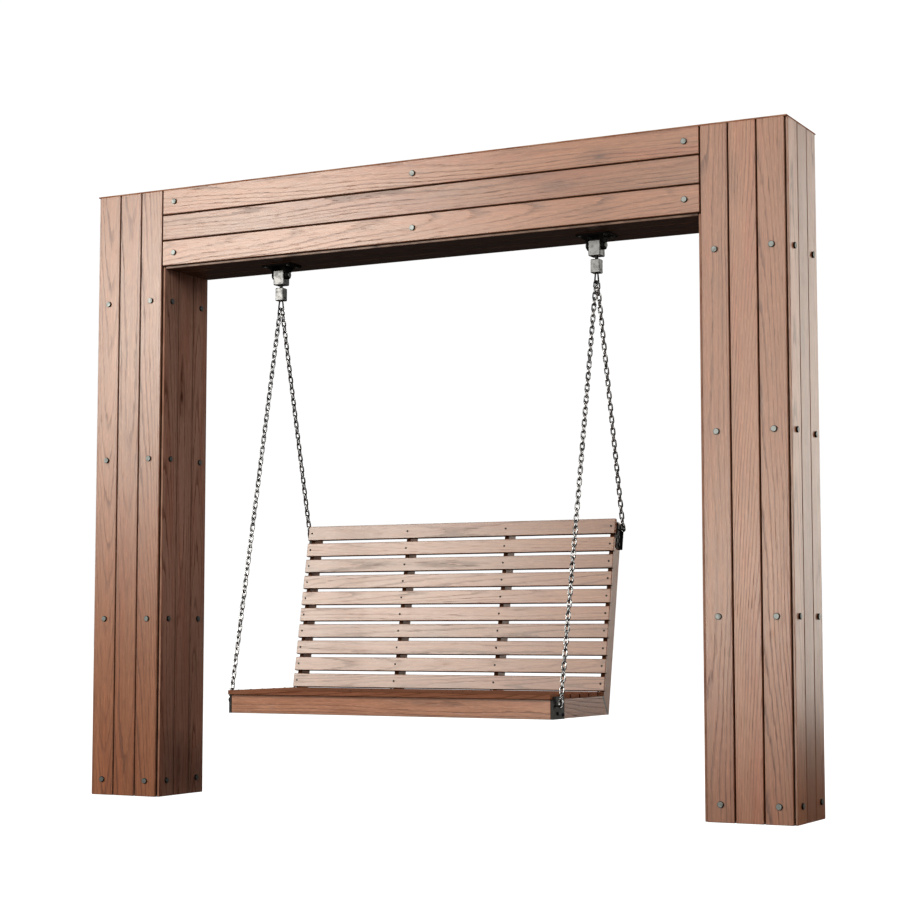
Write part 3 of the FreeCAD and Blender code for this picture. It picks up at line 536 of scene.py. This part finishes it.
# Chains
# Short-link chain of 6 mm round wire, each link bent to an oval and closed by a small weld on one side.
# Every other link lies across the next; the end links hold the hanger ring's bar and the plate's eye.
wire = 0.003
bend = 0.007
link_pitch = 0.022
link_play = 0.00025
end_play = 0.0003
weld_swell = 1.14
segments = 12
turn = math.pi / segments
bar_height = 1.902949
eyes = {"front": (-0.0075, -0.330, 0.388), "rear": (0.0075, 0.228265, 1.016563)}
for side, sign in (("left", -1), ("right", 1)):
    for end, (ring_y, eye_y, eye_z) in eyes.items():
        top = Vector((sign * hanger_x, ring_y, bar_height))
        run = Vector((sign * hanger_x, eye_y, eye_z)) - top
        down = run.normalized()
        end_reach = 2 * wire * run.length / abs(run.z) - wire + end_play
        taut = run.length + 2 * end_reach
        count = 2 * round((taut / link_pitch - 1) / 2) + 1
        pitch = (taut - link_play) / count
        inner = pitch + link_play
        bpy.ops.object.select_all(action="DESELECT")
        bpy.ops.mesh.primitive_torus_add(
            major_segments=segments,
            minor_segments=8,
            major_radius=bend / math.cos(turn),
            minor_radius=wire,
            rotation=(0.0, 0.0, turn),
        )
        oval = bpy.context.object
        bpy.ops.object.transform_apply(location=False, rotation=True, scale=False)
        stretch = inner / 2 + wire - bend
        mark(oval, "VERT", lambda p: p.y > 0)
        bpy.ops.transform.translate(value=(0.0, stretch, 0.0))
        mark(oval, "VERT", lambda p: p.y < 0)
        bpy.ops.transform.translate(value=(0.0, -stretch, 0.0))
        mark(oval, "EDGE", lambda a, b: a.y * b.y < 0 and a.x > 0)
        bpy.ops.mesh.subdivide(number_cuts=1)
        mark(oval, "VERT", lambda p: abs(p.y) < 0.0005 and p.x > 0)
        bpy.ops.transform.resize(value=(weld_swell, 1.0, weld_swell), center_override=(bend, 0.0, 0.0))
        finish_shape(oval, 180.0)
        widths = (Vector((1, 0, 0)), down.cross(Vector((1, 0, 0))))
        first = top + down * (inner / 2 - end_reach)
        places = []
        for i in range(count):
            x = widths[i % 2]
            turned = Matrix((x, down, x.cross(down))).transposed()
            places.append(Matrix.Translation(first + down * (i * pitch)) @ turned.to_4x4())
        chain = set_out(oval, f"{side}_{end}_links", places)
        chain.data.materials.append(chain_steel)
        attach(chain, f"{side}_{end}_chain")
        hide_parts(f"{side}_{end}_chain")

# Bench timber
# The apron, rails and uprights are oak; the rails and uprights are mitred together and hold the slats.
slat_pale = (0.400, 0.174, 0.086, 1.0)
slat_deep = (0.155, 0.056, 0.023, 1.0)
# The apron takes a brighter copy of the board colour: painted light.
apron_painted_light_pale = (0.640, 0.300, 0.178, 1.0)
apron_painted_light_deep = (0.218, 0.077, 0.033, 1.0)
rail_start = 0.341
rail_width = 0.068
apron_middle = -0.35
end_x = 0.645
apron = oak_boards("apron", "ZYX", rail_start, rail_width, apron_middle, 200, apron_painted_light_pale, apron_painted_light_deep)
dress("front_apron", apron)
mitre = (0.0912, 0.409, 0.820, 0.572)
for node, middle, number in (
    ("left_side_rail", -end_x, 210),
    ("inner_rails", 0.0, 220),
    ("right_side_rail", end_x, 230),
):
    name = node.replace("_", " ")
    wood = oak_boards(
        name, "ZXY", rail_start, rail_width, middle, number, board_pale, board_deep, mitre=mitre
    )
    dress(node, wood)
lean = 10.5
upright_start = 0.0147
upright_pitch = 0.060
# The uprights' front faces, seen between the back slats, are darkened and lose their sheen: painted shade
# from the slats.
for node, middle, number in (
    ("left_end_upright", -end_x, 240),
    ("inner_uprights", 0.0, 250),
    ("right_end_upright", end_x, 260),
):
    wood = oak_boards(
        node.replace("_", " "),
        "YXZ",
        upright_start,
        upright_pitch,
        middle,
        number,
        slat_pale,
        slat_deep,
        turn=lean,
        sheen=0.6,
        painted_gap_shade=(0.0017, 0.004),
    )
    dress(node, wood)

# Seat slats
# Six oak slats with eased edges, screwed down on the rails. The front one is the widest and overhangs
# the apron, the last is ripped narrower where it meets the back, and sitting has worn them all matt.
seat_pale = (0.41, 0.190, 0.122, 1.0)
seat_deep = (0.16, 0.063, 0.033, 1.0)
seat_middle = 0.417
front_slat_width = 0.0985
seat_pitch = 0.079
seat_front = -0.3795
front_slat = oak_boards(
    "front slat", "YZX", seat_front, front_slat_width, seat_middle, 270, seat_pale, seat_deep, sheen=0.0
)
dress("front_seat_slat", front_slat)
# The seat slats are darkened in the gaps between them: painted shade.
seat_wood = oak_boards(
    "seat slats",
    "YZX",
    seat_front + front_slat_width,
    seat_pitch,
    seat_middle,
    272,
    seat_pale,
    seat_deep,
    sheen=0.0,
    painted_gap_shade=(0.0047, 0.0056),
)
dress("seat_slats", seat_wood)

# Back slats
# Ten oak slats screwed across the reclined uprights, with the widest at the top.
back_foot_y = 0.0785
back_foot_z = 0.428
lean_sin = math.sin(math.radians(lean))
lean_cos = math.cos(math.radians(lean))
foot_along = back_foot_y * lean_sin + back_foot_z * lean_cos
slat_pitch = 0.0648
slat_lead = 0.0063
slat_middle = 0.0072
slat_count = 10
# The back slats are darkened in each gap and along each slat's lower edge, and lose their sheen there:
# painted shadow.
back_wood = oak_boards(
    "back slats",
    "ZYX",
    foot_along - slat_lead,
    slat_pitch,
    slat_middle,
    300,
    slat_pale,
    slat_deep,
    turn=lean,
    sheen=0.88,
    relief=0.25,
    lines=0.48,
    painted_gap_shade=(0.0066, 0.0082),
)
for i in range(slat_count):
    dress(f"back_slat_{i + 1:02d}", back_wood)

# Slat screws
# Small black pan-head screws with a cross recess, one wherever a slat crosses a rail or an upright.
screw_radius = 0.004
screw_height = 0.0016
near_top = 0.0015
arm_width = 0.0015
notch = 0.0008
facing_up = 0.9


def on_top(point):
    return point.z > near_top


def off_arms(point):
    """How far a point is from the nearer line of the cross."""
    return min(abs(point.x), abs(point.y))


bpy.ops.object.select_all(action="DESELECT")
bpy.ops.mesh.primitive_cylinder_add(
    vertices=16, radius=screw_radius, depth=screw_height, location=(0.0, 0.0, screw_height / 2)
)
screw = bpy.context.object
bpy.ops.object.transform_apply(location=True, rotation=False, scale=False)
mark(screw, "FACE", lambda centre, normal: normal.z > facing_up)
bpy.ops.mesh.inset(thickness=0.0013, depth=0.0)
mark(screw, "VERT", lambda p: on_top(p) and p.xy.length > 0.0035)
bpy.ops.transform.resize(value=(0.90, 0.90, 1.0), center_override=(0.0, 0.0, 0.0))
bpy.ops.transform.translate(value=(0.0, 0.0, -0.0006))
mark(screw, "VERT", lambda p: on_top(p) and off_arms(p) > arm_width)
bpy.ops.transform.resize(value=(0.36, 0.36, 1.0), center_override=(0.0, 0.0, 0.0))
mark(screw, "VERT", lambda p: on_top(p) and notch < off_arms(p) < arm_width and p.xy.length > 0.002)
bpy.ops.transform.resize(value=(0.62, 0.62, 1.0), center_override=(0.0, 0.0, 0.0))
mark(screw, "FACE", lambda c, normal: normal.z > facing_up and on_top(c) and c.xy.length < 0.0003)
bpy.ops.mesh.extrude_region_move(TRANSFORM_OT_translate={"value": (0.0, 0.0, -0.0009)})
bpy.ops.transform.resize(value=(0.7, 0.7, 1.0), center_override=(0.0, 0.0, 0.0))
finish_shape(screw)
inner_x = 0.212225
seat_top = 0.425
seat_screw_rows = (-0.324, -0.2415, -0.1625, -0.0835, -0.0045, 0.06275)
first_screw_along = 0.0261
top_screw_along = 0.61145
screw_places = []
for x in (-end_x, -inner_x, inner_x, end_x):
    for y in seat_screw_rows:
        screw_places.append(facing((x, y, seat_top), (0, 0, 1), (1, 0, 0)))
    for i in range(slat_count):
        along_back = top_screw_along if i == slat_count - 1 else first_screw_along + slat_pitch * i
        seat = (x, back_foot_y + along_back * lean_sin, back_foot_z + along_back * lean_cos)
        screw_places.append(facing(seat, (0, -lean_cos, lean_sin), (1, 0, 0)))
screws = set_out(screw, "slat_screw_heads", screw_places)
screws.data.materials.append(black_steel)
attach(screws, "bench")
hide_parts("slat_screws")

# Chain plates
# Pressed black steel channels with a round eye, each held to the end of the bench by two hexagon bolts
# on plain washers.
dress("chain_plates", black_steel)
washer_radius = 0.0078
washer_height = 0.0012
hexagon_radius = 0.0064
hexagon_height = 0.0028
bpy.ops.object.select_all(action="DESELECT")
bpy.ops.mesh.primitive_cylinder_add(
    vertices=24, radius=washer_radius, depth=washer_height, location=(0.0, 0.0, washer_height / 2)
)
washer = bpy.context.object
bpy.ops.object.transform_apply(location=True, rotation=False, scale=False)
mark(washer, "EDGE", lambda a, b: min(a.z, b.z) > 0.001)
bpy.ops.mesh.bevel(offset=0.0004, segments=2)
finish_shape(washer)
bpy.ops.object.select_all(action="DESELECT")
hexagon_seat = (0.0, 0.0, washer_height + hexagon_height / 2)
bpy.ops.mesh.primitive_cylinder_add(
    vertices=6, radius=hexagon_radius, depth=hexagon_height, location=hexagon_seat
)
hexagon = bpy.context.object
bpy.ops.object.transform_apply(location=True, rotation=False, scale=False)
mark(hexagon, "FACE", lambda centre, normal: normal.z > facing_up)
bpy.ops.mesh.inset(thickness=0.0009, depth=0.0)
bpy.ops.transform.translate(value=(0.0, 0.0, 0.0003))
mark(hexagon, "EDGE", lambda a, b: abs(a.z - b.z) > 0.002)
bpy.ops.mesh.bevel(offset=0.0003, segments=2)
finish_shape(hexagon)
washer.select_set(True)
bpy.context.view_layer.objects.active = hexagon
bpy.ops.object.join()
front_face = 0.6635
rear_face = 0.656
flats_along = (0, 0.94, 0.34)
plate_seats = [(front_face, -0.324, 0.361), (front_face, -0.281, 0.356)]
for along_back, back in ((0.580, 0.046), (0.552, 0.054)):
    y = back_foot_y + along_back * lean_sin + back * lean_cos
    z = back_foot_z + along_back * lean_cos - back * lean_sin
    plate_seats.append((rear_face, y, z))
bolt_places = [
    facing((sign * x, y, z), (sign, 0, 0), flats_along) for sign in (-1, 1) for x, y, z in plate_seats
]
plate_bolts = set_out(hexagon, "chain_plate_hexagons", bolt_places)
plate_bolts.data.materials.append(black_steel)
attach(plate_bolts, "bench")
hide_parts("chain_plate_bolts")

# Studio
# A wide pale floor under an open white room. Soft boxes at the front left shine off the boards, and a
# tall and a low one light the right-hand post. A fill stands at the front right, a box and a narrow panel
# graze the right side, and one large box lights the back.
bpy.ops.object.select_all(action="DESELECT")
bpy.ops.mesh.primitive_plane_add(size=120.0, location=(0.0, 0.0, -0.0005))
floor = bpy.context.object
floor.name = "studio_floor"
paper = bpy.data.materials.new("pale paper")
paper.use_nodes = True
paper_tree = paper.node_tree
paper_tree.nodes.clear()
paper_spot = shade(paper_tree, "ShaderNodeTexCoord").outputs["Object"]
paper_tooth = shade(paper_tree, "ShaderNodeTexNoise", {"Vector": paper_spot, "Scale": 3.0, "Detail": 4.0})
paper_grain = smooth(paper_tree, paper_tooth.outputs[0], 0.3, 0.7)
paper_colour = tint(paper_tree, "MIX", paper_grain, (0.88, 0.88, 0.88, 1), (0.91, 0.91, 0.91, 1))
seen = shade(paper_tree, "ShaderNodeLightPath").outputs["Is Camera Ray"]
lit_paper = shade(paper_tree, "ShaderNodeBsdfDiffuse", {"Color": paper_colour}).outputs[0]
bright_paper = shade(paper_tree, "ShaderNodeEmission", {"Color": (1, 1, 1, 1), "Strength": 1.3}).outputs[0]
dark_paper = shade(paper_tree, "ShaderNodeBsdfDiffuse", {"Color": (0.05, 0.047, 0.045, 1)}).outputs[0]
shown_paper = shade(paper_tree, "ShaderNodeMixShader", [0.15, bright_paper, lit_paper]).outputs[0]
paper_mix = shade(paper_tree, "ShaderNodeMixShader", [seen, dark_paper, shown_paper]).outputs[0]
paper_end = shade(paper_tree, "ShaderNodeOutputMaterial")
paper_tree.links.new(paper_mix, paper_end.inputs["Surface"])
floor.data.materials.append(paper)

world = bpy.data.worlds.new("white room")
world.use_nodes = True
room = world.node_tree
room_light = room.nodes["Background"]
room_seen = shade(room, "ShaderNodeLightPath").outputs["Is Camera Ray"]
room_strength = maths(room, "MULTIPLY_ADD", room_seen, 0.88, 0.14)
room_light.inputs["Color"].default_value = (1.0, 1.0, 1.0, 1.0)
room.links.new(room_strength, room_light.inputs["Strength"])
bpy.context.scene.world = world


def soft_box(name, place, target, width, height, power, spread=180.0):
    """A rectangular soft light aimed at a point."""
    bpy.ops.object.light_add(type="AREA", location=place)
    lamp = bpy.context.object
    lamp.name = name
    lamp.data.shape = "RECTANGLE"
    lamp.data.size = width
    lamp.data.size_y = height
    lamp.data.energy = power
    lamp.data.color = (1.0, 0.968, 0.88)
    lamp.data.spread = math.radians(spread)
    aim = [t - p for t, p in zip(target, place)]
    lamp.rotation_euler = (
        math.atan2(math.hypot(aim[0], aim[1]), -aim[2]),
        0.0,
        math.atan2(aim[0], -aim[1]) + math.pi,
    )


soft_box("shine_box", (-4.05, -5.9, 3.35), (0.0, 0.0, 1.6), width=2.3, height=1.6, power=198.0)
soft_box("left_box", (-5.55, -5.9, 2.3), (-1.3, 0.0, 1.4), width=1.1, height=1.6, power=84.0)
soft_box("tall_box", (-0.65, -6.2, 2.8), (1.29, 0.0, 1.5), width=1.0, height=4.0, power=90.0)
soft_box("low_box", (-0.75, -6.0, 0.72), (1.2, 0.0, 0.6), width=1.2, height=1.0, power=54.0)
soft_box("fill_box", (6.2, -4.4, 4.0), (0.2, 0.0, 1.1), width=3.0, height=2.4, power=145.0)
soft_box("side_panel", (3.0, 4.6, 1.95), (1.46, 0.0, 1.55), width=1.5, height=3.6, power=4.5, spread=50.0)
soft_box("right_box", (7.0, 0.6, 3.0), (1.4, 0.0, 1.2), width=2.4, height=2.4, power=80.0)
soft_box("back_box", (-3.5, 6.0, 4.4), (0.0, 0.2, 1.3), width=3.4, height=2.6, power=460.0)

bpy.ops.object.camera_add(location=(3.6479, -6.7833, 0.6408))
camera = bpy.context.object
camera.rotation_euler = (math.radians(95.05), 0.0, math.radians(27.78))
camera.data.sensor_width = 36.0
camera.data.lens = 82.25
bpy.context.scene.camera = camera
bpy.context.scene.view_settings.view_transform = "Standard"
